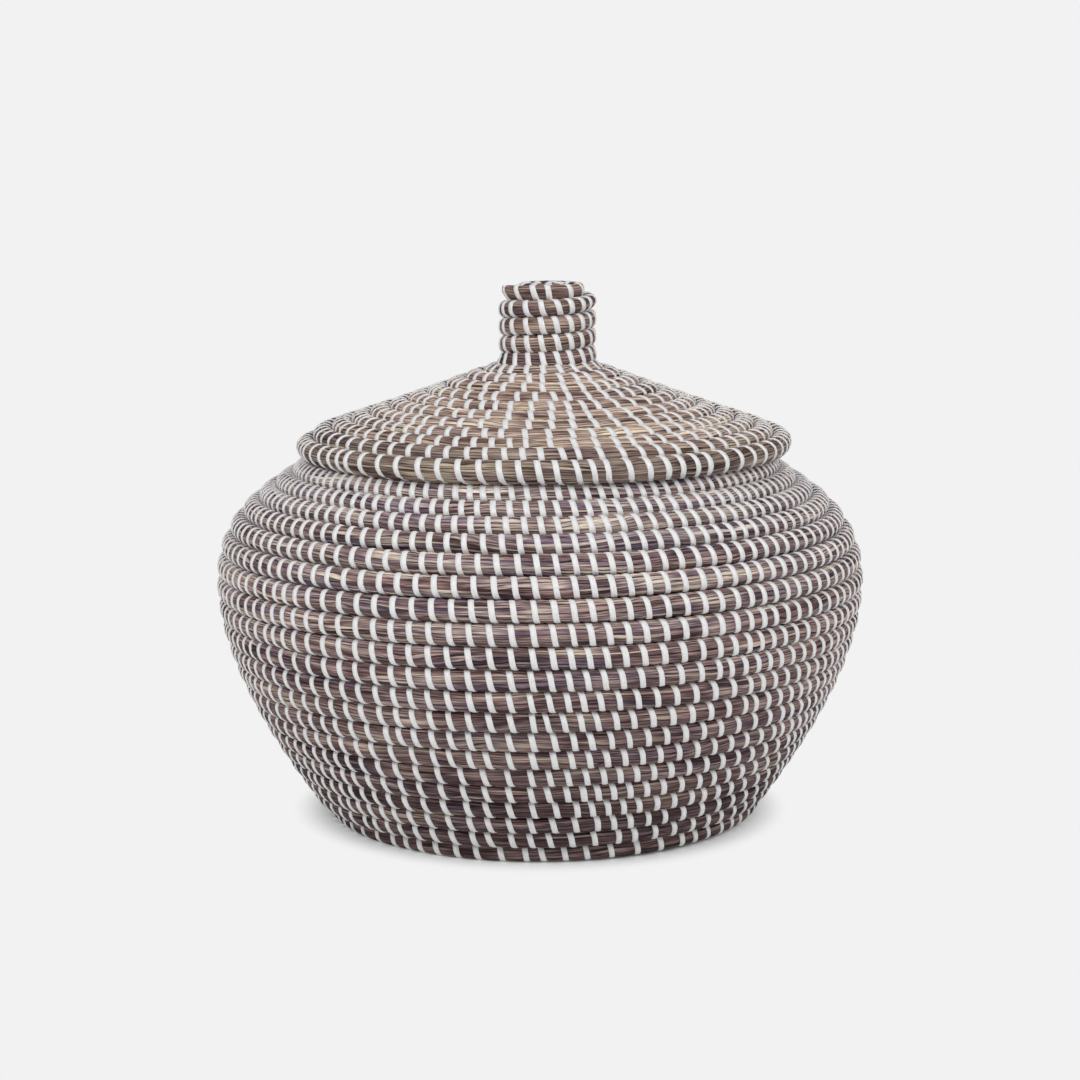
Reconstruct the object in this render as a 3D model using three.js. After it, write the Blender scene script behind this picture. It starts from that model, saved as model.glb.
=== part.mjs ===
// Lidded basket sewn from two coils of seagrass.
// One coil winds out from the middle of the base and up the bulging wall to the rim.
// The other winds out from the top of the knob, down its side and over the cone of the lid to the edge.
// Millimetres, +Z up, origin on the floor under the middle of the base.
import * as THREE from 'three';

// Thickness of the grass bundles, and the gap that neighbouring turns keep
const bodyBundle = 9.43;
const knobBundle = 7.75;
const coneBundle = 9.05;
const edgeBundle = 9.7;
const hoopBundle = 7.4;
const turnGap = 0.3;

// Body: places of the bundle's centre line in a half section
const footRadius = 98;
const footSlope = THREE.MathUtils.degToRad(59);
const footReach = 17.3;
const bellyRadius = 145.2;
const bellyHeight = 111.2;
const bellyReachDown = 44.9;
const bellyReachUp = 35.5;
const rimRadius = 103.8;
const rimHeight = 165.7;
const rimSlope = THREE.MathUtils.degToRad(56.5);
const rimReach = 15;

// Lid: how far its edge reaches past the rim, radii from its axis, heights above the edge turn's outer end
const lidOverhang = 9.6;
const lidRise = 37.5;
const knobRadius = 18.6;
const knobHeight = 35.2;
const shoulderRadius = 2.5;
const neckRadius = 6;
const coneReach = 80;
const edgeReach = 12.6;
const edgeDroop = THREE.MathUtils.degToRad(27.5);

// Lengths over which the lid's bundle thickens: from the neck down the cone, and out into the edge turn
const coneBlend = 10;
const edgeBlend = 13.5;

// How far to one side the lid lies on the rim
const lidShift = 3.4;

// Hoops, sewn one under the other below the lid, and the play that the shifted lid leaves them inside the rim
const hoopPlay = 0.3;
const hoopCount = 2;

// Gap that the lid keeps to the rim, and the upper hoop to the lid
const seatGap = 0.3;

// How the bundle thins out, in turns: where it starts, and where it ends against the turn beside it
const startTurns = 0.35;
const startTaper = 0.3;
const startTip = 0.4;
const endTaper = 0.3;
const endTip = 0.3;

// How finely the coils are drawn
const segmentsPerTurn = 32;
const profileSteps = 2400;
const faceShare = 0.55;

// Both coils end at the back of the basket
const seamAngle = Math.PI / 2;

const seagrass = new THREE.MeshStandardMaterial({ color: '#7c6656', roughness: 0.85, metalness: 0 });
const lidSeagrass = new THREE.MeshStandardMaterial({ color: '#8a735c', roughness: 0.85, metalness: 0 });
const knobSeagrass = new THREE.MeshStandardMaterial({ color: '#755f55', roughness: 0.85, metalness: 0 });
const hiddenSeagrass = new THREE.MeshStandardMaterial({ color: '#8b7560', roughness: 0.9, metalness: 0 });

// A coil follows a half-section profile, one bundle and one gap further inward with each turn.
// Turns are counted from the outer end, so turn 0 is where the bundle ends.
// winding is 1 where the bundle climbs anticlockwise seen from above, and -1 where it goes down clockwise.
// What the coil stands on, if anything, is its floor.
function makeCoil(profile, bundleAt, winding, floor = -Infinity) {
  const length = profile.getLength();
  const points = profile.getSpacedPoints(profileSteps).reverse();
  const step = length / profileSteps;
  const turns = [0];
  for (let i = 1; i <= profileSteps; i++) {
    turns.push(turns[i - 1] + step / (bundleAt((i - 0.5) * step) + turnGap));
  }
  return { points, step, turns, bundleAt, winding, floor, turnCount: turns[profileSteps] };
}

// Centre of the bundle at a turn, as radius and height; past its ends the profile runs on straight.
function centreAt(coil, turn) {
  const { points, turns } = coil;
  let low = 0;
  let high = turns.length - 1;
  while (high - low > 1) {
    const middle = Math.floor((low + high) / 2);
    if (turns[middle] <= turn) low = middle;
    else high = middle;
  }
  const share = (turn - turns[low]) / (turns[high] - turns[low]);
  return points[low].clone().lerp(points[high], share);
}

// Thickness of the bundle at a turn
function bundleAtTurn(coil, turn) {
  const at = coil.turns.findIndex((t) => t >= turn);
  const index = at < 0 ? profileSteps : at;
  return coil.bundleAt(index * coil.step);
}

// Six-sided section of the bundle in the plane through the axis.
// Two corners point at the turns beside it, and none passes half a gap short of the middle between them.
// The flats face out of the basket and into it, and a floor presses the lowest one level.
function sectionAt(coil, turn, thinning, keepOuterSide) {
  const centre = centreAt(coil, turn);
  const toOuter = centreAt(coil, turn - 1).sub(centre);
  const toInner = centreAt(coil, turn + 1).sub(centre);
  const reachOf = (toNeighbour) => toNeighbour.length() / 2 - turnGap / 2;
  const tipOf = (toNeighbour) => toNeighbour.clone().setLength(reachOf(toNeighbour));
  const along = toOuter.clone().sub(toInner).normalize();
  const half = bundleAtTurn(coil, turn) / 2;
  const across = new THREE.Vector2(-along.y, along.x).multiplyScalar(half);
  const face = along.multiplyScalar(half * faceShare);
  const corners = [
    tipOf(toOuter),
    across.clone().add(face),
    across.clone().sub(face),
    tipOf(toInner),
    across.clone().negate().sub(face),
    across.clone().negate().add(face),
  ];
  for (const corner of corners) {
    for (const toNeighbour of [toOuter, toInner]) {
      const direction = toNeighbour.clone().normalize();
      const excess = Math.max(corner.dot(direction) - reachOf(toNeighbour), 0);
      corner.addScaledVector(direction, -excess);
    }
  }
  const kept = (keepOuterSide ? corners[0] : corners[3]).clone();
  for (const corner of corners) {
    corner.lerp(kept, 1 - thinning).add(centre);
    corner.y = Math.max(corner.y, coil.floor);
  }
  return corners;
}

// How thick the bundle still is near its ends, as a share, and which side stays in place as it thins
function thinningAt(coil, turn) {
  const fromStart = coil.turnCount - startTurns - turn;
  if (fromStart < startTaper) {
    return { share: THREE.MathUtils.lerp(startTip, 1, fromStart / startTaper), keepOuterSide: true };
  }
  return { share: THREE.MathUtils.lerp(endTip, 1, Math.min(turn / endTaper, 1)), keepOuterSide: false };
}

function placedSection(coil, turn) {
  const { share, keepOuterSide } = thinningAt(coil, turn);
  const angle = seamAngle - coil.winding * 2 * Math.PI * turn;
  const place = ({ x, y }) => new THREE.Vector3(x * Math.cos(angle), x * Math.sin(angle), y);
  return sectionAt(coil, turn, share, keepOuterSide).map(place);
}

// Closed body through a row of sections with equal numbers of corners.
// A hoop joins its last section to its first, and anything else has two flat ends.
function bodyThrough(sections, isHoop = false) {
  const sides = sections[0].length;
  const vertices = sections.flat();
  const last = (sections.length - 1) * sides;
  const spans = isHoop ? sections.length : sections.length - 1;
  const triangles = [];
  for (let i = 0; i < spans; i++) {
    const here = i * sides;
    const next = (i + 1) % sections.length * sides;
    for (let side = 0; side < sides; side++) {
      const beside = (side + 1) % sides;
      triangles.push([here + side, here + beside, next + side], [here + beside, next + beside, next + side]);
    }
  }
  for (let side = 1; side < sides - 1 && !isHoop; side++) {
    triangles.push([0, side + 1, side], [last, last + side, last + side + 1]);
  }
  const volume = triangles.reduce((sum, [a, b, c]) => {
    const normal = vertices[b].clone().cross(vertices[c]);
    return sum + vertices[a].dot(normal);
  }, 0);
  const facingOut = volume > 0 ? triangles : triangles.map(([a, b, c]) => [a, c, b]);
  const geometry = new THREE.BufferGeometry().setFromPoints(vertices);
  geometry.setIndex(facingOut.flat());
  geometry.computeVertexNormals();
  return geometry;
}

// One stretch of the coil between two turns, held half a gap short of each
function coilStretch(coil, fromTurn, toTurn) {
  const endGap = (turn) => turnGap / 2 / (2 * Math.PI * Math.max(centreAt(coil, turn).x, knobRadius));
  const start = fromTurn + endGap(fromTurn);
  const end = toTurn - endGap(toTurn);
  const sections = [placedSection(coil, start)];
  for (let k = Math.floor(start * segmentsPerTurn) + 1; k < end * segmentsPerTurn; k++) {
    sections.push(placedSection(coil, k / segmentsPerTurn));
  }
  sections.push(placedSection(coil, end));
  return bodyThrough(sections);
}

function addMesh(group, name, geometry, material) {
  const mesh = new THREE.Mesh(geometry, material);
  mesh.name = name;
  group.add(mesh);
}

const twoDigits = (number) => String(number).padStart(2, '0');

// Body profile: flat base, foot, lower wall up to the belly, shoulder in to the rim
const baseHeight = bodyBundle / 2;
const bodyProfile = new THREE.Path()
  .moveTo(0, baseHeight)
  .lineTo(footRadius, baseHeight)
  .bezierCurveTo(
    footRadius + footReach * Math.cos(footSlope), baseHeight + footReach * Math.sin(footSlope),
    bellyRadius, bellyHeight - bellyReachDown,
    bellyRadius, bellyHeight,
  )
  .bezierCurveTo(
    bellyRadius, bellyHeight + bellyReachUp,
    rimRadius + rimReach * Math.cos(rimSlope), rimHeight - rimReach * Math.sin(rimSlope),
    rimRadius, rimHeight,
  );
const bodyCoil = makeCoil(bodyProfile, () => bodyBundle, 1, 0);

// Lid profile: top of the knob, its side, the neck, the cone and the drooping edge
const lidRadius = rimRadius + lidOverhang;
const coneAngle = Math.atan2(lidRise, lidRadius - knobRadius);
const neckTurn = Math.PI / 2 - coneAngle;
const neckTangent = neckRadius * Math.tan(neckTurn / 2);
const coneStart = new THREE.Vector2(
  knobRadius + neckTangent * Math.cos(coneAngle),
  lidRise - neckTangent * Math.sin(coneAngle),
);
const knobTop = lidRise + knobHeight;
const edgeAngle = coneAngle + edgeDroop;
const lidProfile = new THREE.Path()
  .moveTo(0, knobTop)
  .lineTo(knobRadius - shoulderRadius, knobTop)
  .absarc(knobRadius - shoulderRadius, knobTop - shoulderRadius, shoulderRadius, Math.PI / 2, 0, true)
  .lineTo(knobRadius, lidRise + neckTangent)
  .absarc(knobRadius + neckRadius, lidRise + neckTangent, neckRadius, Math.PI, Math.PI + neckTurn, false)
  .bezierCurveTo(
    coneStart.x + coneReach * Math.cos(coneAngle), coneStart.y - coneReach * Math.sin(coneAngle),
    lidRadius - edgeReach * Math.cos(edgeAngle), edgeReach * Math.sin(edgeAngle),
    lidRadius, 0,
  );

// The bundle thickens from the knob down the first stretch of the cone, and again into the edge turn
const coneLength = lidProfile.curves.at(-1).getLength();
function lidBundleAt(fromEdge) {
  if (fromEdge < edgeBlend) {
    return THREE.MathUtils.lerp(edgeBundle, coneBundle, fromEdge / edgeBlend);
  }
  const fromNeck = THREE.MathUtils.clamp((coneLength - fromEdge) / coneBlend, 0, 1);
  return THREE.MathUtils.lerp(knobBundle, coneBundle, fromNeck);
}
const lidCoil = makeCoil(lidProfile, lidBundleAt, -1);

// Body: one unbroken spiral for the base, then a piece for each turn of the wall, lowest first
const body = new THREE.Group();
const wallLength = bodyProfile.getLength() - footRadius;
const wallTurns = Math.ceil(wallLength / (bodyBundle + turnGap));
addMesh(body, 'base_coil', coilStretch(bodyCoil, wallTurns, bodyCoil.turnCount - startTurns), seagrass);
for (let turn = wallTurns - 1; turn > 0; turn--) {
  const name = `wall_coil_${twoDigits(wallTurns - turn)}`;
  addMesh(body, name, coilStretch(bodyCoil, turn, turn + 1), seagrass);
}
addMesh(body, 'rim_coil', coilStretch(bodyCoil, 0, 1), seagrass);

// Lid: knob top, knob turns from the top down, cone turns from the neck outward, and the edge
const lid = new THREE.Group();
const neckFromEdge = coneLength + neckRadius * neckTurn / 2;
const coneTurns = Math.round(lidCoil.turns[Math.round(neckFromEdge / lidCoil.step)]);
const topFromEdge = lidProfile.getLength() - (knobRadius - shoulderRadius);
const topTurn = Math.ceil(lidCoil.turns[Math.round(topFromEdge / lidCoil.step)]);
addMesh(lid, 'knob_top_coil', coilStretch(lidCoil, topTurn, lidCoil.turnCount - startTurns), knobSeagrass);
for (let turn = topTurn - 1; turn >= coneTurns; turn--) {
  addMesh(lid, `knob_coil_${topTurn - turn}`, coilStretch(lidCoil, turn, turn + 1), knobSeagrass);
}
for (let turn = coneTurns - 1; turn > 0; turn--) {
  const name = `cone_coil_${twoDigits(coneTurns - turn)}`;
  addMesh(lid, name, coilStretch(lidCoil, turn, turn + 1), lidSeagrass);
}
addMesh(lid, 'lid_edge_coil', coilStretch(lidCoil, 0, 1), lidSeagrass);

// Sections that lie in one half plane: those of the outermost turns of a coil, at one segment's angle
function sectionsAtSegment(coil, segment, turns) {
  return Array.from({ length: turns }, (_, turn) => {
    const place = turn + segment / segmentsPerTurn;
    const { share, keepOuterSide } = thinningAt(coil, place);
    return sectionAt(coil, place, share, keepOuterSide);
  });
}

// Lowest height of some sections at a radius
function undersideAt(sections, radius) {
  const heights = [Infinity];
  for (const corners of sections) {
    corners.forEach((corner, side) => {
      const next = corners[(side + 1) % corners.length];
      const share = (radius - corner.x) / (next.x - corner.x);
      if (share >= 0 && share <= 1) heights.push(THREE.MathUtils.lerp(corner.y, next.y, share));
    });
  }
  return Math.min(...heights);
}

// Section of a hoop about its own centre: flat above and below, with a corner towards the axis and one away
const hoopRadius = rimRadius - (bodyBundle + hoopBundle) / 2 - lidShift - hoopPlay;
const hoopHalf = hoopBundle / 2;
const hoopFace = hoopHalf * faceShare;
const hoopSection = [
  [hoopHalf, 0], [hoopFace, hoopHalf], [-hoopFace, hoopHalf],
  [-hoopHalf, 0], [-hoopFace, -hoopHalf], [hoopFace, -hoopHalf],
];

function hoopAt(height) {
  const sections = Array.from({ length: segmentsPerTurn }, (_, segment) => {
    const angle = seamAngle + 2 * Math.PI * segment / segmentsPerTurn;
    return hoopSection.map(([out, up]) => {
      const radius = hoopRadius + out;
      return new THREE.Vector3(radius * Math.cos(angle), radius * Math.sin(angle), height + up);
    });
  });
  return bodyThrough(sections, true);
}

// The upper hoop is as high as the cone turns over it leave room for, at every angle and across its width
const conePitch = coneBundle + turnGap;
const turnsOverHoop = Math.ceil((lidRadius - hoopRadius + hoopBundle) / conePitch) + 1;
const hoopRooms = [];
for (let segment = 0; segment < segmentsPerTurn; segment++) {
  const cone = sectionsAtSegment(lidCoil, segment, turnsOverHoop);
  for (let out = -hoopHalf; out <= hoopHalf; out += hoopHalf / 8) {
    const slant = (hoopHalf - Math.abs(out)) / (hoopHalf - hoopFace);
    const top = hoopHalf * Math.min(slant, 1);
    hoopRooms.push(undersideAt(cone, hoopRadius + out) - top);
  }
}
const upperHoopHeight = Math.min(...hoopRooms) - seatGap;
for (let hoop = 0; hoop < hoopCount; hoop++) {
  const height = upperHoopHeight - hoop * (hoopBundle + turnGap);
  addMesh(lid, `lid_hoop_${hoop + 1}`, hoopAt(height), hiddenSeagrass);
}

// The lid rests on the rim, a little to one side. It is lifted until its edge turn just clears the rim turn all
// the way round.
const lifts = [];
for (let segment = 0; segment <= segmentsPerTurn; segment++) {
  const [rimCorners] = sectionsAtSegment(bodyCoil, segmentsPerTurn - segment, 1);
  const [edgeCorners] = sectionsAtSegment(lidCoil, segment, 1);
  const rimTop = Math.max(...rimCorners.map(({ y }) => y));
  const edgeBottom = Math.min(...edgeCorners.map(({ y }) => y));
  lifts.push(rimTop - edgeBottom);
}
lid.position.set(lidShift, 0, Math.max(...lifts) + seatGap);

const basket = new THREE.Group();
basket.add(body, lid);

export default basket;
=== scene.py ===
import math

import bpy
import numpy as np
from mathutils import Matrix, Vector


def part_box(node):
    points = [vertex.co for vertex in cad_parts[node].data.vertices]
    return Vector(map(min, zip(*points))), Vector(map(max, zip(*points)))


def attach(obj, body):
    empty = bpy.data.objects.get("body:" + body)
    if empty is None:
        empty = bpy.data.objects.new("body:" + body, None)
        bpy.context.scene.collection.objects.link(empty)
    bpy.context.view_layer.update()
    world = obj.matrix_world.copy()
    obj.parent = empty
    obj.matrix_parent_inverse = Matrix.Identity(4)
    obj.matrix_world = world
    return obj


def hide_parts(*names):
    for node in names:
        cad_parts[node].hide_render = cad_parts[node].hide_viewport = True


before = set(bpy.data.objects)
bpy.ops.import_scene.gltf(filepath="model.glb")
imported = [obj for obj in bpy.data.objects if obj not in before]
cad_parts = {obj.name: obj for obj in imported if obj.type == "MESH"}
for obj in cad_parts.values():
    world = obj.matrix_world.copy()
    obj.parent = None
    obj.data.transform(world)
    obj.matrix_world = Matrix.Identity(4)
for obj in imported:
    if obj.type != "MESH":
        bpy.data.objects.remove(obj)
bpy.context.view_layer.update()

# Body of the basket: one long bundle of dried seagrass stalks, wound in a single unbroken spiral.
# It lies flat as the base, turns up at the foot, bulges out to the belly and closes in to the rim.
# Each turn is sewn to the last one with flat plastic strip, which nips the bundle at every stitch.
turn_gap = 0.0003
body_bundle = 0.00943
foot_radius = 0.098
foot_slope = math.radians(59)
foot_reach = 0.0173
belly_radius = 0.1452
belly_height = 0.1112
belly_reach_down = 0.0449
belly_reach_up = 0.0355
rim_radius = 0.1038
rim_height = 0.1657
rim_slope = math.radians(56.5)
rim_reach = 0.015

# Points on a straight run or an arc, on a long curve, and along a whole coil
line_points, curve_points, coil_points = 200, 600, 6001


def line(start, end):
    """Points at equal steps on the straight line between two points."""
    return np.linspace(start, end, line_points)


def bezier(start, leave, arrive, end):
    """Cubic curve: the four given points weighted by (1-t)^3, 3t(1-t)^2, 3t^2(1-t) and t^3."""
    t = np.linspace(0, 1, curve_points)[:, None]
    start, leave, arrive, end = map(np.array, (start, leave, arrive, end))
    return (1 - t) ** 3 * start + 3 * t * (1 - t) ** 2 * leave + 3 * t**2 * (1 - t) * arrive + t**3 * end


class Coil:
    """A bundle wound along a half-section profile of (radius, height), one bundle and one gap further in
    with each turn. Turns are counted inward, from 0 at the outer end, which lies at the back. The bundle
    goes round by winding whole circles a turn. face is 1 where the seen side is to the right of the profile
    walked towards its outer end. The axis stands at shift along X, heights are counted from lift, and
    nothing reaches below floor."""

    # The seam between turns is at the back. The bundle starts start_turns out from the profile's inner end
    # and grows from start_tip of its thickness over start_taper turns. At the outer end it thins likewise.
    seam = math.pi / 2
    start_turns, start_taper, start_tip = 0.2, 0.3, 0.4
    end_taper, end_tip = 0.3, 0.3
    squareness = 2.6

    def __init__(self, profile, bundle_at, winding, face, shift=0.0, lift=0.0, floor=-1.0):
        along = np.concatenate([[0], np.cumsum(np.hypot(*np.diff(profile, axis=0).T))])
        self.from_end = np.linspace(0, along[-1], coil_points)
        places = along[-1] - self.from_end
        self.points = np.column_stack([np.interp(places, along, axis) for axis in profile.T])
        rate = 1 / (bundle_at(self.from_end) + turn_gap)
        step = self.from_end[1]
        self.turns = np.concatenate([[0], np.cumsum((rate[1:] + rate[:-1]) / 2 * step)])
        self.turn_count = self.turns[-1]
        self.bundle_at, self.winding, self.face = bundle_at, winding, face
        self.shift, self.lift, self.floor = shift, lift, floor

    def centre(self, turn):
        """Centre of the bundle at a turn, read off the profile, which runs on straight past its ends."""
        inside = np.clip(turn, 0, self.turn_count)
        centre = np.stack([np.interp(inside, self.turns, axis) for axis in self.points.T], axis=-1)
        first = (self.points[1] - self.points[0]) / self.turns[1]
        last = (self.points[-1] - self.points[-2]) / (self.turns[-1] - self.turns[-2])
        past = (turn - inside)[..., None]
        return centre + past * np.where(past < 0, first, last)

    def reaches(self, turn):
        """Vectors from the centre to where the bundle meets the turn outside it, the one inside it, and its
        seen side. The first two go half way to the neighbours' centres, and the third is square to both."""
        centre = self.centre(turn)
        out = (self.centre(turn - 1) - centre) / 2
        back = (self.centre(turn + 1) - centre) / 2
        along = out - back
        along /= np.linalg.norm(along, axis=-1, keepdims=True)
        half = self.bundle_at(np.interp(turn, self.turns, self.from_end)) / 2
        seen = np.stack([along[..., 1], -along[..., 0]], axis=-1) * self.face
        return out, back, seen * half[..., None]

    def thinning(self, turn):
        """Share of its thickness that the bundle has near its ends, and where it still grows at its start."""
        from_start = np.clip((self.turn_count - self.start_turns - turn) / self.start_taper, 0, 1)
        from_end = np.clip(turn / self.end_taper, 0, 1)
        at_start = self.start_tip + (1 - self.start_tip) * from_start
        at_end = self.end_tip + (1 - self.end_tip) * from_end
        return np.minimum(at_start, at_end), from_start < 1

    def section(self, turn, round_it, swell, proud):
        """Radius and height at an angle round the bundle, 0 against the next turn outward and a quarter on
        the seen side. The section is a rounded square: cosine and sine each to the power two over
        squareness. It is scaled by swell about its centre, stands proud of that by a length, and shrinks
        towards one side near the ends."""
        turn, round_it = np.broadcast_arrays(np.asarray(turn, float), np.asarray(round_it, float))
        out, back, seen = self.reaches(turn)
        cosine, sine = np.cos(round_it), np.sin(round_it)
        power = 2 / self.squareness
        across = (np.sign(cosine) * np.abs(cosine) ** power)[..., None]
        facing = (np.sign(sine) * np.abs(sine) ** power)[..., None]
        offset = across * ((1 + across) / 2 * out - (1 - across) / 2 * back) + facing * seen
        length = np.linalg.norm(offset, axis=-1, keepdims=True)
        swell, proud = (np.broadcast_to(value, turn.shape)[..., None] for value in (swell, proud))
        offset *= swell + proud / length
        share, starting = self.thinning(turn)
        kept = np.where(starting[..., None], out, back)
        return np.moveaxis(self.centre(turn) + kept + share[..., None] * (offset - kept), -1, 0)

    def skin(self, turn, round_it, swell=1.0, proud=0.0, above_floor=0.0):
        """The points of the section at a turn, in their places round the axis."""
        radius, height = self.section(turn, round_it, swell, proud)
        angle = self.seam - self.winding * 2 * math.pi * turn
        height = np.maximum(height, self.floor + above_floor) + self.lift
        return np.stack([radius * np.cos(angle) + self.shift, radius * np.sin(angle), height], axis=-1)


base_height = body_bundle / 2
body_profile = np.vstack([
    line((0, base_height), (foot_radius, base_height)),
    bezier(
        (foot_radius, base_height),
        (foot_radius + foot_reach * math.cos(foot_slope), base_height + foot_reach * math.sin(foot_slope)),
        (belly_radius, belly_height - belly_reach_down),
        (belly_radius, belly_height),
    ),
    bezier(
        (belly_radius, belly_height),
        (belly_radius, belly_height + belly_reach_up),
        (rim_radius + rim_reach * math.cos(rim_slope), rim_height - rim_reach * math.sin(rim_slope)),
        (rim_radius, rim_height),
    ),
])


def body_bundle_at(from_end):
    """Thickness of the body's bundle: the same all along."""
    return np.full_like(from_end, body_bundle)


body_coil = Coil(body_profile, body_bundle_at, winding=1, face=1, floor=0.0)


# How a stitch finds its place, in metres and turns. It strays by chance, and its room is drawn by evening
# to the mean one of so many models each way. Another stitch is put between at a share of a room that is
# over the widest by more than the leeway, and a model is passed over under a share of the widest. The first
# turn has no models and is sewn at first_room of the widest. The first stitch lies first_stitch from the
# bundle's start, and the last at least last_stitch from its end. At the middle, least_radius is the least
# radius that a room is measured at.
stray, evening, nearby = 0.0003, 0.45, 3
between, too_narrow, leeway = 0.57, 0.45, 0.08
first_room, first_stitch, last_stitch, least_radius = 0.8, 0.02, 0.012, 0.003


def sew(coil, widest_rooms, shift, seed):
    """Places of the stitches, as turns, in the order they are sewn from the start of the coil outward. A
    stitch follows its model, the one a turn further in, moved on by shift and a little chance. Its room
    since the last stitch is drawn towards the mean room of the models round there. Where it would be over
    the widest room, give or take some, another stitch is put between."""
    rng = np.random.default_rng(seed)
    stitches = [coil.turn_count - coil.start_turns - first_stitch]
    model = 0
    while stitches[-1] > last_stitch:
        around = 2 * math.pi * max(float(coil.centre(np.array(stitches[-1]))[0]), least_radius)
        widest = np.interp(stitches[-1], *widest_rooms)
        if stitches[0] - stitches[-1] < 1:
            stitches.append(stitches[-1] - first_room * widest / around)
            continue
        room = (stitches[-1] - stitches[model] + 1) * around + shift + rng.normal(0, stray)
        if room > widest * rng.uniform(1 - leeway, 1 + leeway):
            stitches.append(stitches[-1] - between * room / around)
            continue
        if room > too_narrow * widest:
            low, high = max(model - nearby, 0), min(model + nearby, len(stitches) - 1)
            usual = (stitches[low] - stitches[high]) / (high - low) * around
            stitches.append(stitches[-1] - (room + evening * (usual - room)) / around)
        model += 1
    return np.array(stitches[:-1])


# Widest room between two stitches of the body, along its middle, for the turns counted from the rim, and
# how far each stitch moves on past the one a turn further in
body_rooms = (
    [0, 8, 9, 10, 12, 16, 19, 28],
    [0.0097, 0.0100, 0.0100, 0.0102, 0.0104, 0.0110, 0.0115, 0.0130],
)
body_stitch_shift = 0.0006
body_stitches = sew(body_coil, body_rooms, body_stitch_shift, seed=11)


def drift(rng, along, spacing, columns):
    """Slow random curves from -1 to 1: random heights at equal spacings, joined by half cosine waves."""
    heights = rng.uniform(-1, 1, (int(along.max() / spacing) + 3, columns))
    low = np.floor(along / spacing).astype(int)
    share = (1 - np.cos(np.pi * (along / spacing - low)))[:, None] / 2
    return heights[low] * (1 - share) + heights[low + 1] * share


def lean(round_it, slant_share, bend):
    """Share of the way from one stitch to the next at an angle round the bundle. Over the seen half it rises
    to slant_share as the way over that half to the power bend, or, for a bend under 1, as 1 less the way
    left to the power 1 over bend. From there it rises evenly to 1 over the hidden half."""
    seen = np.clip(round_it / math.pi, 0, 1)
    hidden = np.clip(round_it / math.pi - 1, 0, 1)
    curve = seen**bend if bend >= 1 else 1 - (1 - seen) ** (1 / bend)
    return slant_share * curve + (1 - slant_share) * hidden


# Half width of the dent that a tight strip presses into the bundle
nip_reach = 0.0024


class Sewing:
    """Stitches on a coil, numbered in the order they are sewn, with the turn each one starts at. slants are
    the lengths that a stitch moves on over the seen side, for some turns. bend is how its way there curves:
    1 is straight, over 1 it moves on late, and under 1 early."""

    def __init__(self, coil, stitches, slants, bend):
        self.coil, self.stitches, self.bend = coil, stitches, bend
        self.numbers = np.arange(len(stitches))
        self.rooms = np.abs(np.gradient(stitches)) * 2 * math.pi * coil.centre(stitches)[:, 0]
        self.slant_shares = np.interp(stitches, *slants) / self.rooms

    def turn(self, number):
        """Turn at a stitch number, whole or not."""
        return np.interp(number, self.numbers, self.stitches)

    def number(self, turn):
        """Stitch number at a turn."""
        return np.interp(-turn, -self.stitches, self.numbers)

    def path(self, number, round_it):
        """Turn at which the strip of a stitch crosses an angle round the bundle."""
        share = np.interp(number, self.numbers, self.slant_shares)
        return self.turn(number + lean(round_it, share, self.bend))

    def nip(self, turn, round_it):
        """How hard the strip presses at a place, from 0 to 1: a bell over the way to the nearest strip."""
        number = self.number(turn)
        room = np.interp(number, self.numbers, self.rooms)
        off = number - lean(round_it, np.interp(number, self.numbers, self.slant_shares), self.bend)
        return np.exp(-(((off - np.round(off)) * room / nip_reach) ** 2))


body_slants = ([6, 11], [0.0024, 0.0034])
body_sewing = Sewing(body_coil, body_stitches, body_slants, bend=1.12)

# Relief of the bundle, in shares of its thickness, with angles in radians and lengths in metres. It is a
# touch plumper than its room in the coil. Seen stalks are narrower than the ones behind, and their widths,
# places and rises each change over a length along the bundle. A crease lies between two stalks, as deep as
# crease_depth where the stalk beside it takes crease_width of the circle. The strip presses the bundle in
# and the stalks flatter. The grass keeps off the floor, where the strip is what it stands on.
stalks_round, seen_share = 14, 0.6
seen_stalk, hidden_stalk = 0.8, 1.3
width_spread, width_length = 0.65, 0.045
sway, sway_length = 0.25, 0.08
stalk_rise, rise_length = 0.045, 0.03
crease_depth, crease_width, crease_least, crease_most = 0.08, 0.4, 0.5, 1.3
plumpness, nip_depth, flattening = 1.01, 0.09, 0.6
stalk_points, stalk_backs = np.array([0, 0.28, 0.72]), np.array([0, 1, 1])
grass_off_floor = 0.0003


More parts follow.
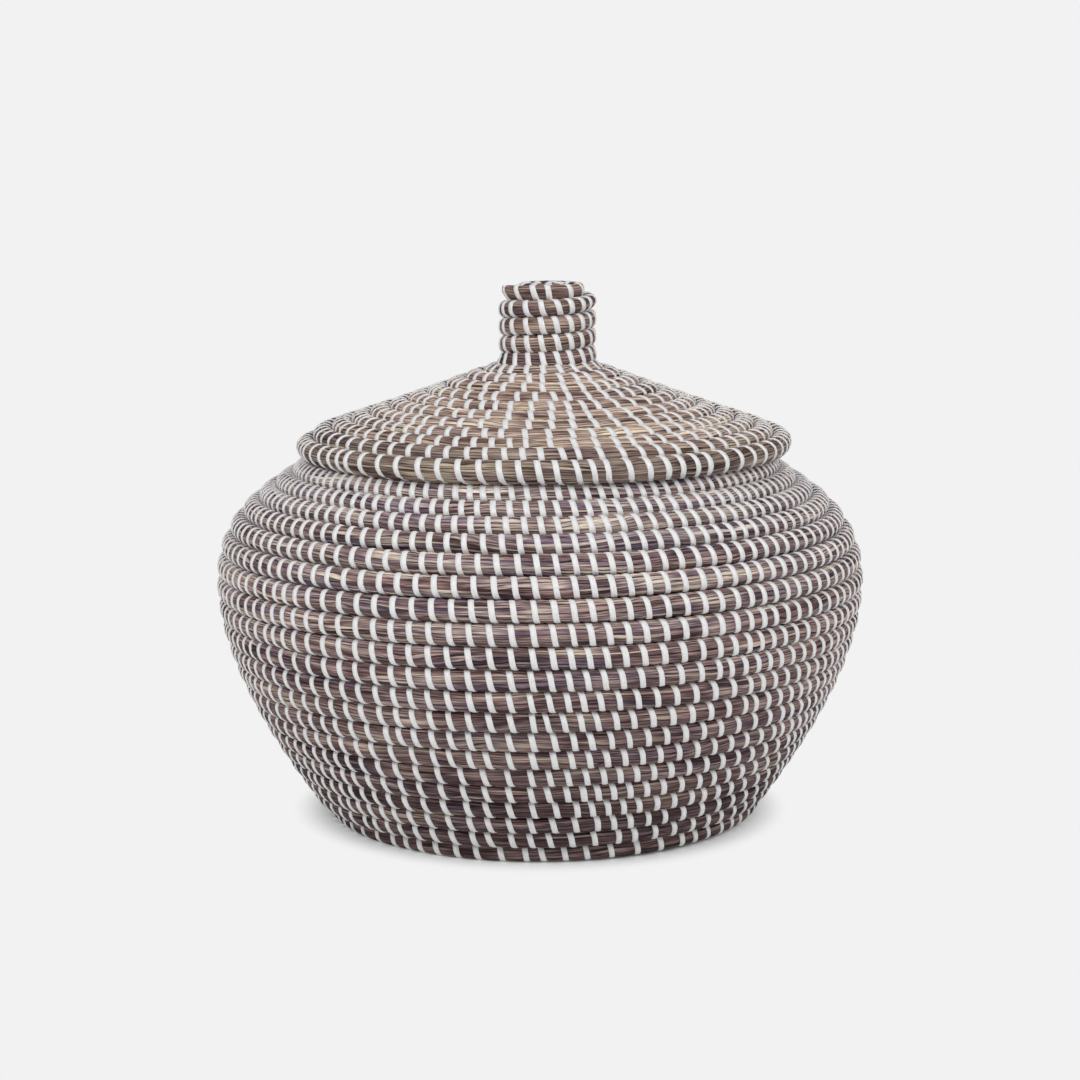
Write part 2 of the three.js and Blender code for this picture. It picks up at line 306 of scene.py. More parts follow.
def bundle_grid(coil, sewing, turns, seed):
    """Surface of a bundle of stalks at given turns. The way round it is shared among the stalks by slowly
    drifting widths, and each stalk has a crease and two points on its back. The swell is the plumpness less
    the crease, plus each stalk's own slow rise, less the nip of the strip. Also returns the place along in
    centimetres and the stalk number with the share across the stalk, for the material."""
    rng = np.random.default_rng(seed)
    radius = coil.centre(turns)[:, 0]
    steps = np.abs(np.diff(turns)) * 2 * math.pi * (radius[1:] + radius[:-1]) / 2
    along = np.concatenate([[0], np.cumsum(steps)])
    narrow = np.where(np.arange(stalks_round) < stalks_round * seen_share, seen_stalk, hidden_stalk)
    widths = narrow * np.exp(width_spread * drift(rng, along, width_length, stalks_round))
    widths *= 2 * math.pi / widths.sum(axis=1, keepdims=True)
    starts = np.cumsum(widths, axis=1) - widths + sway * drift(rng, along, sway_length, 1)
    rises = stalk_rise * drift(rng, along, rise_length, stalks_round)
    round_it = (starts[:, :, None] + widths[:, :, None] * stalk_points).reshape(len(turns), -1)
    round_it %= 2 * math.pi
    depths = crease_depth * (1 - stalk_backs)
    creases = depths * np.clip(widths[:, :, None] / crease_width, crease_least, crease_most)
    relief = (rises[:, :, None] * stalk_backs - creases).reshape(len(turns), -1)
    nip = sewing.nip(turns[:, None], round_it)
    swell = plumpness + relief * (1 - flattening * nip) - nip_depth * nip
    points = coil.skin(turns[:, None], round_it, swell, above_floor=grass_off_floor)
    across = (np.arange(stalks_round)[:, None] + stalk_points).ravel()
    return points, along * 100, across


def add_surface(name, points, material, chart, ring=False):
    """Mesh of a grid of points whose columns close round. Its two ends get a fan of triangles each, unless
    its rows close into a ring. chart is its UV map: a value for each row, one for each column and the first
    again, and the map's name."""
    rows, columns = points.shape[:2]
    along, across, map_name = chart
    along = np.append(along, 2 * along[-1] - along[-2])
    row, column = np.meshgrid(np.arange(rows if ring else rows - 1), np.arange(columns), indexing="ij")
    corner_rows = np.stack([row, row, row + 1, row + 1], axis=-1).reshape(-1, 4)
    corner_columns = np.stack([column, column + 1, column + 1, column], axis=-1).reshape(-1, 4)
    quads = corner_rows % rows * columns + corner_columns % columns
    quad_chart = np.stack([along[corner_rows], across[corner_columns]], axis=-1)
    vertices = points.reshape(-1, 3)
    fans = np.empty((0, 3), int)
    if not ring:
        middles = len(vertices) + np.repeat([0, 1], columns)
        edge, beside = np.arange(columns), np.roll(np.arange(columns), -1)
        last = (rows - 1) * columns
        edges = np.vstack([np.column_stack([beside, edge]), last + np.column_stack([edge, beside])])
        fans = np.column_stack([middles, edges])
        vertices = np.vstack([vertices, points[0].mean(axis=0), points[-1].mean(axis=0)])
    fan_chart = np.full((len(fans), 3, 2), across[0] + 0.5)
    fan_chart[:, :, 0] = np.repeat(along[[0, rows - 1]], columns)[:len(fans), None]

    # The grid runs one way or the other with the winding: a negative volume means faces that point inward.
    a, b, c, d = (vertices[quads[:, corner]] for corner in range(4))
    volume = np.einsum("ij,ij->", a, np.cross(b, c) + np.cross(c, d))
    if volume < 0:
        parts = (quads, quad_chart, fans, fan_chart)
        quads, quad_chart, fans, fan_chart = (part[:, ::-1] for part in parts)

    mesh = bpy.data.meshes.new(name)
    corners = np.concatenate([quads.ravel(), fans.ravel()])
    mesh.vertices.add(len(vertices))
    mesh.vertices.foreach_set("co", vertices.ravel().astype(np.float32))
    mesh.loops.add(len(corners))
    mesh.loops.foreach_set("vertex_index", corners.astype(np.int32))
    mesh.polygons.add(len(quads) + len(fans))
    starts = np.concatenate([np.arange(len(quads)) * 4, quads.size + np.arange(len(fans)) * 3])
    mesh.polygons.foreach_set("loop_start", starts.astype(np.int32))
    mesh.polygons.foreach_set("use_smooth", np.arange(len(starts)) < len(quads))
    layer = mesh.uv_layers.new(name=map_name)
    places = np.concatenate([quad_chart.ravel(), fan_chart.ravel()])
    layer.data.foreach_set("uv", places.astype(np.float32))
    mesh.materials.append(material)
    mesh.update(calc_edges=True)
    piece = bpy.data.objects.new(name, mesh)
    bpy.context.scene.collection.objects.link(piece)
    return piece


def add_node(tree, kind, inputs=(), **settings):
    """Add one node with its settings, and fill its inputs: a list in their order, or a dict by name or
    number. A socket is linked, and anything else is a plain value."""
    node = tree.nodes.new(kind)
    for name, value in settings.items():
        setattr(node, name, value)
    for key, value in inputs.items() if isinstance(inputs, dict) else enumerate(inputs):
        if isinstance(value, bpy.types.NodeSocket):
            tree.links.new(value, node.inputs[key])
        else:
            node.inputs[key].default_value = value
    return node


def colour(code, alpha=1.0):
    """Linear colour of an sRGB hex value: a part is divided by 12.92 up to 0.04045, and goes by a power of
    2.4 above that."""
    parts = [int(code[k:k + 2], 16) / 255 for k in (1, 3, 5)]
    return (*(p / 12.92 if p <= 0.04045 else ((p + 0.055) / 1.055) ** 2.4 for p in parts), alpha)


def new_material(name):
    """An empty material with its surface shader joined to the output."""
    material = bpy.data.materials.new(name)
    material.use_nodes = True
    tree = material.node_tree
    tree.nodes.clear()
    shader = add_node(tree, "ShaderNodeBsdfPrincipled")
    add_node(tree, "ShaderNodeOutputMaterial", {"Surface": shader.outputs["BSDF"]})
    return material, tree, shader


# Dried seagrass: flat stalks, cut, sun-dried and bundled unsorted, so every one keeps its own tone of
# purple-grey, brown, tan or straw for a few centimetres. Deep gaps and fine fissures run along them, which
# gives the eye long, thin, uneven streaks; their darkness is painted shade. Matt, with a faint gloss. An
# even bundle is alike all over.
even = (0.0, 1.0, 1.0, 1.0)


def dried_seagrass(name, tones, violet, violet_share, batches_and_light=even, painted_shades=even, reds=even):
    """Colour of a bundle, read from its map of centimetres along and stalk number plus share across. A tone
    for each stalk, a slower one for its neighbours too, one for each straw and fine fibres add up on a ramp
    of tones. Patches take the violet hue. The gaps between the stalks and thin fissures darken it with
    painted shade. The last three are ranges, each from one place to another and from one factor to another:
    brightness by the centimetres, which holds painted light and shade where it changes along the bundle;
    brightness by the stalk number, painted light on the stalks on one side of each turn and painted shade on
    the other; and how much green and blue are kept by the centimetres."""
    material, tree, shader = new_material(name)
    chart = add_node(tree, "ShaderNodeUVMap", uv_map="stalks")
    parts = add_node(tree, "ShaderNodeSeparateXYZ", [chart.outputs["UV"]])
    along, across = parts.outputs["X"], parts.outputs["Y"]
    stalk = add_node(tree, "ShaderNodeMath", [across], operation="FLOOR").outputs[0]

    def streaks(per_cm, number, per_number, offset, detail):
        """Noise stretched along the bundle: so many cells per centimetre, and so many for each number
        across. The offset sets one such pattern apart from the next."""
        x = add_node(tree, "ShaderNodeMath", [along, per_cm], operation="MULTIPLY").outputs[0]
        y = add_node(tree, "ShaderNodeMath", [number, per_number], operation="MULTIPLY").outputs[0]
        place = add_node(tree, "ShaderNodeCombineXYZ", [x, y, offset]).outputs[0]
        noise = {"Vector": place, "Scale": 1.0, "Detail": detail, "Roughness": 0.6}
        return add_node(tree, "ShaderNodeTexNoise", noise).outputs["Fac"]

    # The modelled stalks are 2.1 mm wide on average. Each shows one and a half straws, 1.4 mm wide, which
    # wander across it and back over 33 mm.
    wander = streaks(0.3, across, 0.3, 70.0, 1.0)
    wander = add_node(tree, "ShaderNodeMath", [wander, 2.5, across], operation="MULTIPLY_ADD").outputs[0]
    wander = add_node(tree, "ShaderNodeMath", [wander, 1.5], operation="MULTIPLY").outputs[0]
    straw = add_node(tree, "ShaderNodeMath", [wander], operation="FLOOR").outputs[0]

    # A stalk keeps its own tone for 40 mm and a straw for 31 mm, and eight neighbours share the slower one
    # for 140 mm. The real fibres are 0.1 to 0.3 mm wide, too fine to show, so they are drawn 0.6 mm wide.
    own_tone = streaks(0.25, stalk, 3.7, 0.0, 1.0)
    slow_tone = streaks(0.07, stalk, 0.12, 9.0, 1.0)
    straw_tone = streaks(0.32, straw, 4.3, 33.0, 1.0)
    fibres = streaks(0.8, across, 3.7, 21.0, 2.0)
    # Their sum lies between 2.02 and 3.32 on nearly all of the bundle, and that is spread over the ramp.
    tone = add_node(tree, "ShaderNodeMath", [slow_tone, 0.7, own_tone], operation="MULTIPLY_ADD").outputs[0]
    tone = add_node(tree, "ShaderNodeMath", [straw_tone, 2.2, tone], operation="MULTIPLY_ADD").outputs[0]
    tone = add_node(tree, "ShaderNodeMath", [fibres, 1.4, tone], operation="MULTIPLY_ADD").outputs[0]
    place = add_node(tree, "ShaderNodeMapRange", [tone, 2.02, 3.32, 0.0, 1.0]).outputs[0]
    ramp = add_node(tree, "ShaderNodeValToRGB", [place])
    stops = ramp.color_ramp.elements
    while len(stops) < len(tones):
        stops.new(0.5)
    for stop, (position, code) in zip(stops, tones):
        stop.position = position
        stop.color = colour(code)

    # Violet patches: whole stalks that keep the hue for 80 mm, and less of it where they are pale
    patches = streaks(0.12, stalk, 1.9, 60.0, 1.0)
    patches = add_node(tree, "ShaderNodeMapRange", [patches, 0.48, 0.60, 0.0, violet_share]).outputs[0]
    darker = add_node(tree, "ShaderNodeMapRange", [tone, 2.5, 2.93, 1.0, 0.2]).outputs[0]
    patches = add_node(tree, "ShaderNodeMath", [patches, darker], operation="MULTIPLY").outputs[0]
    # The sockets of a colour mix share their names with those of its other kinds, so they go by number:
    # 6 and 7 take the two colours, and 2 gives the mixed one.
    mixed = {0: patches, 6: ramp.outputs["Color"], 7: colour(violet)}
    hue = add_node(tree, "ShaderNodeMix", mixed, data_type="RGBA", blend_type="COLOR").outputs[2]

    def seams(number, low, darkest):
        """How far the edges of numbered strands are darkened, as painted shade in the gaps between them: 1 up
        to low from their middle, and darkest from 0.12 further out."""
        inside = add_node(tree, "ShaderNodeMath", [number], operation="FRACT").outputs[0]
        off_middle = add_node(tree, "ShaderNodeMath", [inside, 0.5], operation="SUBTRACT").outputs[0]
        off_middle = add_node(tree, "ShaderNodeMath", [off_middle], operation="ABSOLUTE").outputs[0]
        edge = [off_middle, low, low + 0.12, 1.0, darkest]
        return add_node(tree, "ShaderNodeMapRange", edge).outputs[0]

    # Gaps between the stalks open and close every 20 mm, and the fissures between the straws every 17 mm.
    # A gap is always seen, and a fissure closes altogether in between. The darkening in both is painted
    # shade.
    open_gap = streaks(0.5, stalk, 2.9, 50.0, 1.0)
    open_gap = add_node(tree, "ShaderNodeMapRange", [open_gap, 0.42, 0.58, 0.1, 0.55]).outputs[0]
    open_seam = streaks(0.6, straw, 2.3, 80.0, 1.0)
    open_seam = add_node(tree, "ShaderNodeMapRange", [open_seam, 0.44, 0.56, 0.05, 1.0]).outputs[0]
    gap = seams(across, 0.35, open_gap)
    fissure = seams(wander, 0.32, open_seam)
    painted_gap_shade = add_node(tree, "ShaderNodeMath", [gap, fissure], operation="MULTIPLY").outputs[0]
    # Painted light and shade: the stalk number brightens the stalks on one side of each turn and darkens the
    # other, and the centimetres along brighten or darken whole turns, both standing in for light from above.
    # With the painted shade of the gaps they scale the colour.
    painted_shade = add_node(tree, "ShaderNodeMapRange", [across, *painted_shades]).outputs[0]
    batch_and_light = add_node(tree, "ShaderNodeMapRange", [along, *batches_and_light]).outputs[0]
    tone_and_shade = add_node(tree, "ShaderNodeMath", [painted_shade, batch_and_light], operation="MULTIPLY").outputs[0]
    tone_and_shade = add_node(tree, "ShaderNodeMath", [tone_and_shade, painted_gap_shade], operation="MULTIPLY").outputs[0]
    final = add_node(tree, "ShaderNodeVectorMath", {0: hue, "Scale": tone_and_shade}, operation="SCALE").outputs[0]
    kept = add_node(tree, "ShaderNodeMapRange", [along, *reds]).outputs[0]
    kept = add_node(tree, "ShaderNodeCombineXYZ", [1.0, kept, kept]).outputs[0]
    final = add_node(tree, "ShaderNodeVectorMath", [final, kept], operation="MULTIPLY").outputs[0]
    tree.links.new(final, shader.inputs["Base Color"])
    height = add_node(tree, "ShaderNodeMath", [fibres, painted_gap_shade], operation="ADD").outputs[0]
    bump = add_node(tree, "ShaderNodeBump", {"Height": height, "Strength": 0.8, "Distance": 0.0005})
    tree.links.new(bump.outputs["Normal"], shader.inputs["Normal"])
    shader.inputs["Roughness"].default_value = 0.62
    shader.inputs["IOR"].default_value = 1.4
    return material


# The body's stalks are purple-grey to straw. From the foot to just below the rim they lose their red, and
# they are painted paler the higher they lie: painted light from above near the rim and painted shade at
# the foot. On each turn the stalks that face up are painted paler and the ones that face down darker, as
# painted light and shade from above.
body_tones = [
    (0.0, "#331d1e"), (0.2, "#563d3d"), (0.42, "#856a68"), (0.62, "#a6928a"), (0.8, "#c3b4a5"),
    (1.0, "#dacbb6"),
]
foot_cm, rim_cm = 380.0, 1900.0
body_grass = dried_seagrass(
    "dried_seagrass_body", body_tones, violet="#68607a", violet_share=0.5,
    batches_and_light=(foot_cm, rim_cm, 0.40, 1.42), painted_shades=(1.0, 9.0, 1.35, 0.65), reds=(foot_cm, rim_cm, 0.85, 1.04),
)

# Rings of the bundle's grid lie about 2 mm apart, and the shortest piece has this many steps
stalk_step, least_steps = 0.002, 8


def lay_bundle(coil, sewing, pieces, material, body, seed):
    """Make the pieces of a coil, each from one turn to another, out of one grid that runs the whole way. Its
    centimetres are counted from 100 times the seed."""
    turns, cuts = [pieces[0][1]], [0]
    for _, start, end in pieces:
        length = abs(start - end) * math.pi * (coil.centre(np.array(start)) + coil.centre(np.array(end)))[0]
        count = max(int(length / stalk_step), least_steps)
        turns.extend(np.linspace(start, end, count + 1)[1:])
        cuts.append(cuts[-1] + count)
    points, along, across = bundle_grid(coil, sewing, np.array(turns), seed)
    across = np.append(across, stalks_round)
    for (node, _, _), low, high in zip(pieces, cuts, cuts[1:]):
        part = slice(low, high + 1)
        chart = (along[part] + seed * 100, across, "stalks")
        piece = add_surface(f"{node}_grass", points[part], material, chart)
        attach(piece, body)
        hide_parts(node)


# Turns from the rim's end down to the foot, where the base starts
wall_turns = 20
body_pieces = [("base_coil", body_coil.turn_count - body_coil.start_turns, wall_turns)]
body_pieces += [
    (f"wall_coil_{wall_turns - turn:02d}", turn + 1, turn) for turn in range(wall_turns - 1, 0, -1)
]
body_pieces += [("rim_coil", 1, 0)]
lay_bundle(body_coil, body_sewing, body_pieces, body_grass, "basket", seed=1)

# Strip that sews the body: flat white polyethylene strip, wound round the bundle and pulled tight. It goes
# down the seen side a little slantwise, under the turn below, and up again inside to the next stitch. Its
# width varies by chance, and so does its place by a fifth of a millimetre.
strip_width = 0.0026
strip_thickness = 0.0006
width_chance = 0.05
aside_chance = 0.0002
seen_steps, hidden_steps = 8, 4

# A ring of the strip: places across it as shares of its width, and how far each stands proud of the nipped
# bundle as a share of its thickness. The back is sunk in, and the front is crowned.
ring_across = np.array([-0.5, 0.5, 0.5, 0.0, -0.5])
ring_proud = np.array([-0.2, -0.2, 0.7, 1.0, 0.7])

# Share across the strip for the points of a ring and the first again: 0 to 1 on its back, 1.1 to 2.1 on
# its front
ring_chart = np.array([0.0, 1.0, 1.1, 1.6, 2.1, 2.2])


def strip_grid(sewing, first, last, seed):
    """Section rings of one length of strip, from half way along the hidden side before the first stitch to
    half way along it after the last. Each ring lies where the strip's path crosses the nipped bundle. Also
    returns the millimetres along."""
    rng = np.random.default_rng(seed + first)
    seen = np.arange(seen_steps) / seen_steps / 2
    hidden = 0.5 + np.arange(hidden_steps) / hidden_steps / 2
    places = (np.arange(first - 1, last + 1)[:, None] + np.concatenate([seen, hidden])).ravel()
    places = places[(places >= first - 0.25) & (places <= last + 0.75)]
    numbers = np.floor(places)
    round_it = 2 * math.pi * (places - numbers)
    turn = sewing.path(numbers, round_it)
    around = 2 * math.pi * sewing.coil.section(turn, round_it, 1.0, 0.0)[0]
    marks = np.arange(first - 1, last + 2)
    widths = strip_width * (1 + width_chance * rng.standard_normal(len(marks)))
    width = np.interp(places, marks, widths)
    aside = np.interp(places, marks, aside_chance * rng.standard_normal(len(marks)))
    turns = turn[:, None] + (ring_across * width[:, None] + aside[:, None]) / around[:, None]
    proud = ring_proud * strip_thickness
    points = sewing.coil.skin(turns, round_it[:, None], plumpness - nip_depth, proud)
    steps = np.linalg.norm(np.diff(points.mean(axis=1), axis=0), axis=1)
    return points, np.concatenate([[0], np.cumsum(steps)]) * 1000


# Polyethylene strip: extruded flat, milk white. Satin, so it gives broad soft highlights. The real ribs and
# their cloudiness are about 0.2 mm wide, too fine to show, so five ribs are drawn, 0.5 mm apart, and clouds
# 2 mm long and 0.65 mm wide.
ribs_across = 5


def white_strip(name):
    """Colour and ribs of the strip, read from its map of millimetres along and share across."""
    material, tree, shader = new_material(name)
    chart = add_node(tree, "ShaderNodeUVMap", uv_map="strip")
    parts = add_node(tree, "ShaderNodeSeparateXYZ", [chart.outputs["UV"]])
    ribs = [parts.outputs["Y"], 2 * math.pi * ribs_across]
    ribs = add_node(tree, "ShaderNodeMath", ribs, operation="MULTIPLY").outputs[0]
    ribs = add_node(tree, "ShaderNodeMath", [ribs], operation="SINE").outputs[0]
    along = add_node(tree, "ShaderNodeMath", [parts.outputs["X"], 0.5], operation="MULTIPLY").outputs[0]
    across = add_node(tree, "ShaderNodeMath", [parts.outputs["Y"], 4.0], operation="MULTIPLY").outputs[0]
    place = add_node(tree, "ShaderNodeCombineXYZ", [along, across]).outputs[0]
    noise = {"Vector": place, "Scale": 1.0, "Detail": 3.0, "Roughness": 0.6}
    cloud = add_node(tree, "ShaderNodeTexNoise", noise).outputs["Fac"]
    ramp = add_node(tree, "ShaderNodeValToRGB", [cloud])
    ramp.color_ramp.elements[0].position = 0.3
    ramp.color_ramp.elements[0].color = colour("#e2e2e3")
    ramp.color_ramp.elements[1].position = 0.6
    ramp.color_ramp.elements[1].color = colour("#f5f5f5")
    tree.links.new(ramp.outputs["Color"], shader.inputs["Base Color"])
    height = add_node(tree, "ShaderNodeMath", [ribs, 0.25, cloud], operation="MULTIPLY_ADD").outputs[0]
    bump = add_node(tree, "ShaderNodeBump", {"Height": height, "Strength": 0.25, "Distance": 0.0002})
    tree.links.new(bump.outputs["Normal"], shader.inputs["Normal"])
    shader.inputs["Roughness"].default_value = 0.42
    shader.inputs["IOR"].default_value = 1.5
    return material


plastic = white_strip("polyethylene_strip")


def sew_strip(sewing, pieces, body, seed):
    """Make the strip of each piece of a coil, out of the stitches that start on it, in one length."""
    for node, start, end in pieces:
        mine = np.flatnonzero((sewing.stitches <= start) & (sewing.stitches > end))
        first, last = max(int(mine[0]), 1), min(int(mine[-1]), len(sewing.stitches) - 2)
        points, along = strip_grid(sewing, first, last, seed)
        piece = add_surface(f"{node}_strip", points, plastic, (along, ring_chart, "strip"))
        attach(piece, body)


sew_strip(body_sewing, body_pieces, "basket", seed=101)

# Lid: a second bundle of the same stalks, coiled from the top of the knob down its side and out over a low
# cone. Its edge turn is thicker than the rest and reaches past the rim. The lid lies a little off centre,
# and its place is read from the CAD pieces.
lid_overhang = 0.0096
lid_rise = 0.0375
lid_radius = rim_radius + lid_overhang
knob_bundle, cone_bundle, edge_bundle = 0.00775, 0.00905, 0.0097
knob_radius, knob_height = 0.0186, 0.0352
shoulder_radius, neck_radius = 0.0025, 0.006
cone_reach, edge_reach = 0.08, 0.0126
edge_droop = math.radians(27.5)
cone_blend, edge_blend = 0.01, 0.0135


def arc(centre, radius, start, end):
    """Points on a circle's arc, at equal steps of the angle."""
    angle = np.linspace(start, end, line_points)
    return np.column_stack([centre[0] + radius * np.cos(angle), centre[1] + radius * np.sin(angle)])


cone_angle = math.atan2(lid_rise, lid_radius - knob_radius)
neck_turn = math.pi / 2 - cone_angle
neck_tangent = neck_radius * math.tan(neck_turn / 2)
neck_height = lid_rise + neck_tangent
knob_top = lid_rise + knob_height
shoulder_height = knob_top - shoulder_radius
edge_angle = cone_angle + edge_droop
cone_start = (
    knob_radius + neck_tangent * math.cos(cone_angle),
    lid_rise - neck_tangent * math.sin(cone_angle),
)
cone = bezier(
    cone_start,
    (cone_start[0] + cone_reach * math.cos(cone_angle), cone_start[1] - cone_reach * math.sin(cone_angle)),
    (lid_radius - edge_reach * math.cos(edge_angle), edge_reach * math.sin(edge_angle)),
    (lid_radius, 0),
)
lid_profile = np.vstack([
    line((0, knob_top), (knob_radius - shoulder_radius, knob_top)),
    arc((knob_radius - shoulder_radius, shoulder_height), shoulder_radius, math.pi / 2, 0),
    line((knob_radius, shoulder_height), (knob_radius, neck_height)),
    arc((knob_radius + neck_radius, neck_height), neck_radius, math.pi, math.pi + neck_turn),
    cone,
])
cone_length = np.hypot(*np.diff(cone, axis=0).T).sum()


def lid_bundle_at(from_end):
    """Thickness of the lid's bundle: it grows evenly over the top of the cone, and again into the edge."""
    on_cone = np.interp(cone_length - from_end, [0, cone_blend], [knob_bundle, cone_bundle])
    at_edge = np.interp(from_end, [0, edge_blend], [edge_bundle, cone_bundle])
    return np.where(from_end < edge_blend, at_edge, on_cone)


knob_low, knob_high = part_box("knob_top_coil")
hoop_low, hoop_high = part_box("lid_hoop_1")
lid_shift = (hoop_low.x + hoop_high.x) / 2
lid_lift = (knob_low.z + knob_high.z) / 2 - knob_top
lid_coil = Coil(lid_profile, lid_bundle_at, winding=-1, face=-1, shift=lid_shift, lift=lid_lift)

# Widest room between two stitches of the lid, for the turns counted from its edge. The lid winds the other
# way round, and its stitches fall back a little from turn to turn.
lid_rooms = (
    [0, 1, 6, 8, 10.3, 11, 16, 17.5],
    [0.0100, 0.0112, 0.0110, 0.0096, 0.0082, 0.0078, 0.0074, 0.0056],
)
lid_stitch_shift = -0.0003
lid_stitches = sew(lid_coil, lid_rooms, lid_stitch_shift, seed=12)
lid_slants = ([0], [0.0026])
lid_sewing = Sewing(lid_coil, lid_stitches, lid_slants, bend=1 / 1.15)

# The stalks picked for the lid are more golden. They are painted paler over the cone, as painted light on
# its upward face, down to the last turn and a half, where the edge turns down and they are painted darker,
# as painted shade. The knob's are browner and a little darker all over, and on its turns too the ones that
# face up are painted paler and those facing down darker: painted light and shade.
lid_tones = [
    (0.0, "#33211f"), (0.2, "#60483f"), (0.42, "#957d72"), (0.62, "#b4a090"), (0.8, "#cbb9a2"),
    (1.0, "#dccdb3"),
]
knob_tones = [
    (0.0, "#331d1d"), (0.2, "#593d3a"), (0.42, "#856962"), (0.62, "#a58d83"), (0.8, "#c0ad9b"),
    (1.0, "#d9c8ad"),
]
lid_grass = dried_seagrass(
    "dried_seagrass_lid", lid_tones, violet="#7a6870", violet_share=0.4, batches_and_light=(640.0, 660.0, 1.6, 0.85)
)
knob_grass = dried_seagrass(
    "dried_seagrass_knob", knob_tones, violet="#6c5865", violet_share=0.45,
    batches_and_light=(0.0, 1.0, 0.92, 0.92), painted_shades=(0.0, 8.0, 0.75, 1.25), reds=(0.0, 1.0, 0.97, 0.97),
)

# Turns from the lid's edge up to the neck, and up to the shoulder of the knob
cone_turns, top_turn = 11, 16
knob_pieces = [("knob_top_coil", lid_coil.turn_count - lid_coil.start_turns, top_turn)]
knob_pieces += [
    (f"knob_coil_{top_turn - turn}", turn + 1, turn) for turn in range(top_turn - 1, cone_turns - 1, -1)
]
cone_pieces = [
    (f"cone_coil_{cone_turns - turn:02d}", turn + 1, turn) for turn in range(cone_turns - 1, 0, -1)
]
cone_pieces += [("lid_edge_coil", 1, 0)]
lay_bundle(lid_coil, lid_sewing, knob_pieces, knob_grass, "lid", seed=2)
lay_bundle(lid_coil, lid_sewing, cone_pieces, lid_grass, "lid", seed=3)
sew_strip(lid_sewing, knob_pieces + cone_pieces, "lid", seed=201)

# Hoops: two level rings of the same bundle, sewn one under the other below the lid so that it can't slide
# off. They drop inside the rim with a little play.
hoop_bundle = 0.0074


class Hoop(Coil):
    """A ring of bundle with its centre at one radius and height. Its section is as wide as it is high."""

    winding, face, squareness, floor = 1, 1, 2.3, -1.0

    def __init__(self, node):
        low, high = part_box(node)
        self.shift, self.lift = (low.x + high.x) / 2, (low.z + high.z) / 2
        self.radius = (high.x - low.x - hoop_bundle) / 2

    def centre(self, turn):
        """The ring's radius, and no height of its own."""
        return np.stack([np.full_like(turn, self.radius), np.zeros_like(turn)], axis=-1)

    def reaches(self, turn):
        """Half a bundle up, down and towards the middle."""
        ones, zeros = np.ones_like(turn), np.zeros_like(turn)
        up = np.stack([zeros, ones], axis=-1) * hoop_bundle / 2
        return up, -up, np.stack([-ones, zeros], axis=-1) * hoop_bundle / 2

    def thinning(self, turn):
        """A ring keeps its thickness all round."""
        return np.ones_like(turn), np.zeros_like(turn, dtype=bool)


# The lid's stalks, with less violet. A stitch strays by a share of its room either way. The grid goes once
# round, and over its last rings its reach and height close on those of the first.
hoop_grass = dried_seagrass("dried_seagrass_hoop", lid_tones, violet="#7a6c70", violet_share=0.3)
hoop_stitch_count, spare_stitches = 64, 2
hoop_stray = 0.15
hoop_slants = ([0], [0.003])
closing_rings = 41
for number in (1, 2):
    hoop = Hoop(f"lid_hoop_{number}")
    rng = np.random.default_rng(number)
    marks = np.arange(-spare_stitches, hoop_stitch_count + spare_stitches + 1)
    marks = marks + hoop_stray * rng.uniform(-1, 1, len(marks))
    hoop_sewing = Sewing(hoop, marks[::-1] / hoop_stitch_count, hoop_slants, bend=1.2)
    count = int(2 * math.pi * hoop.radius / stalk_step)
    points, along, across = bundle_grid(hoop, hoop_sewing, np.linspace(0, 1, count + 1), seed=30 + number)
    middle = (hoop.shift, 0)
    closing = points[-closing_rings:]
    reach = np.linalg.norm(closing[..., :2] - middle, axis=-1)
    first_reach = np.linalg.norm(points[0, :, :2] - middle, axis=-1)
    blend = np.linspace(0, 1, closing_rings)[:, None]
    drawn = (reach * (1 - blend) + first_reach * blend) / reach
    closing[..., :2] = middle + (closing[..., :2] - middle) * drawn[..., None]
    closing[..., 2] += (points[0, :, 2] - closing[..., 2]) * blend
    chart = (along[:-1], np.append(across, stalks_round), "stalks")
    grass = add_surface(f"lid_hoop_{number}_grass", points[:-1], hoop_grass, chart, ring=True)
    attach(grass, "lid")
    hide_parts(f"lid_hoop_{number}")
    last_sewn = spare_stitches + hoop_stitch_count - 1
    points, along = strip_grid(hoop_sewing, spare_stitches, last_sewn, seed=40 + number)
    strip = add_surface(f"lid_hoop_{number}_strip", points, plastic, (along, ring_chart, "strip"))
    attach(strip, "lid")

# Studio: a pale paper floor that keeps the basket's shadow up to fade_start from its axis and is all even
# backdrop past fade_end. Soft light comes from all round, and from soft lamps overhead, at both sides, and
# in front to the left and right.
backdrop = 0.887
room_light = 0.27
floor_size = 12.0
fade_start, fade_end = 0.094, 0.118
mesh = bpy.data.meshes.new("floor")
half = floor_size / 2
mesh.from_pydata([(-half, -half, 0), (half, -half, 0), (half, half, 0), (-half, half, 0)], [], [(0, 1, 2, 3)])
floor = bpy.data.objects.new("floor", mesh)
bpy.context.scene.collection.objects.link(floor)

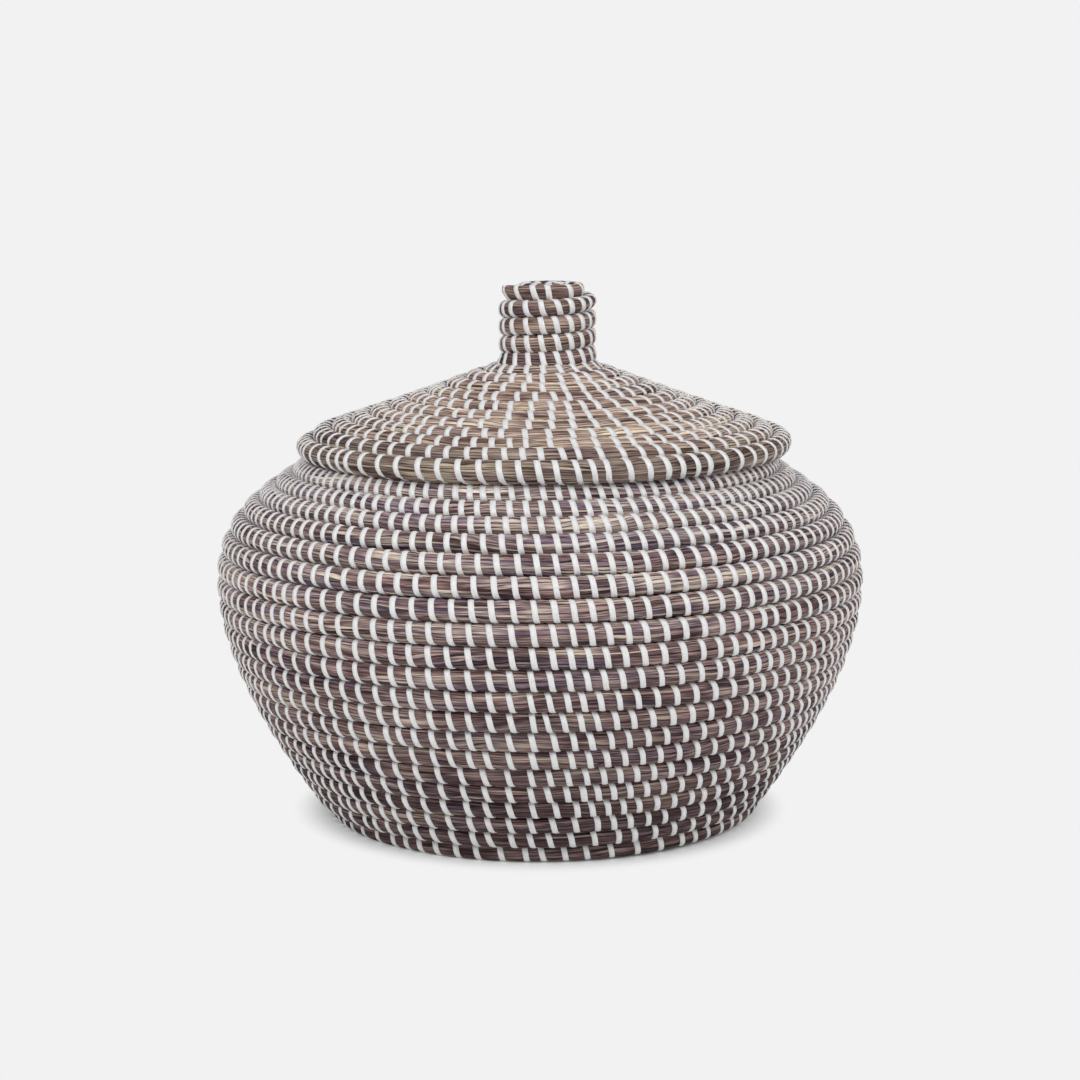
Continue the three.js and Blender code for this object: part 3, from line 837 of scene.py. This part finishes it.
# White paper: matt, with no gloss at all, so that it takes only the soft shadow
paper, tree, shader = new_material("white_paper_floor")
shader.inputs["Base Color"].default_value = (0.9, 0.9, 0.9, 1)
shader.inputs["Roughness"].default_value = 0.9
shader.inputs["Specular IOR Level"].default_value = 0.0
place = add_node(tree, "ShaderNodeTexCoord").outputs["Object"]
away = add_node(tree, "ShaderNodeVectorMath", [place], operation="LENGTH").outputs["Value"]
fade = [away, fade_start, fade_end]
fade = add_node(tree, "ShaderNodeMapRange", fade, interpolation_type="SMOOTHSTEP").outputs[0]
seen = add_node(tree, "ShaderNodeLightPath").outputs["Is Camera Ray"]
share = add_node(tree, "ShaderNodeMath", [fade, seen], operation="MULTIPLY").outputs[0]
glow = add_node(tree, "ShaderNodeEmission", [(backdrop, backdrop, backdrop, 1), 1.0])
mixed = add_node(tree, "ShaderNodeMixShader", [share, shader.outputs["BSDF"], glow.outputs["Emission"]])
output = next(node for node in tree.nodes if node.type == "OUTPUT_MATERIAL")
tree.links.new(mixed.outputs["Shader"], output.inputs["Surface"])
mesh.materials.append(paper)

world = bpy.data.worlds.new("studio")
bpy.context.scene.world = world
world.use_nodes = True
tree = world.node_tree
tree.nodes.clear()
around = add_node(tree, "ShaderNodeBackground", [(1, 1, 1, 1), room_light])
behind = add_node(tree, "ShaderNodeBackground", [(backdrop, backdrop, backdrop, 1), 1.0])
seen = add_node(tree, "ShaderNodeLightPath").outputs["Is Camera Ray"]
mixed = add_node(tree, "ShaderNodeMixShader", [seen, around.outputs[0], behind.outputs[0]])
add_node(tree, "ShaderNodeOutputWorld", {"Surface": mixed.outputs[0]})


def add_lamp(name, place, aim, size, power):
    """A square soft lamp at a place, turned towards a point."""
    lamp = bpy.data.lights.new(name, "AREA")
    lamp.shape, lamp.size, lamp.energy = "SQUARE", size, power
    holder = bpy.data.objects.new(name, lamp)
    bpy.context.scene.collection.objects.link(holder)
    direction = Vector(aim) - Vector(place)
    holder.location = place
    holder.rotation_euler = direction.to_track_quat("-Z", "Y").to_euler()


lamp_aim = (0, 0, 0.1)
add_lamp("overhead_softbox", (0, -0.2, 1.5), lamp_aim, size=1.4, power=1.2)
for side in (-1, 1):
    add_lamp("key_softbox", (0.9 * side, -1.1, 1.05), lamp_aim, size=0.9, power=8.4)
    add_lamp("side_softbox", (1.55 * side, -0.56, 1.05), lamp_aim, size=1.0, power=5.0)

# Camera: the photograph's view, 1.15 m in front of the basket's axis and looking down 9 degrees
camera_data = bpy.data.cameras.new("camera")
camera_data.lens = 83.13
camera_data.sensor_width = 36.0
camera = bpy.data.objects.new("camera", camera_data)
camera.location = (0, -1.15, 0.3112)
camera.rotation_euler = (math.radians(80.866), 0, 0)
bpy.context.scene.collection.objects.link(camera)
bpy.context.scene.camera = camera
bpy.context.scene.view_settings.view_transform = "Standard"
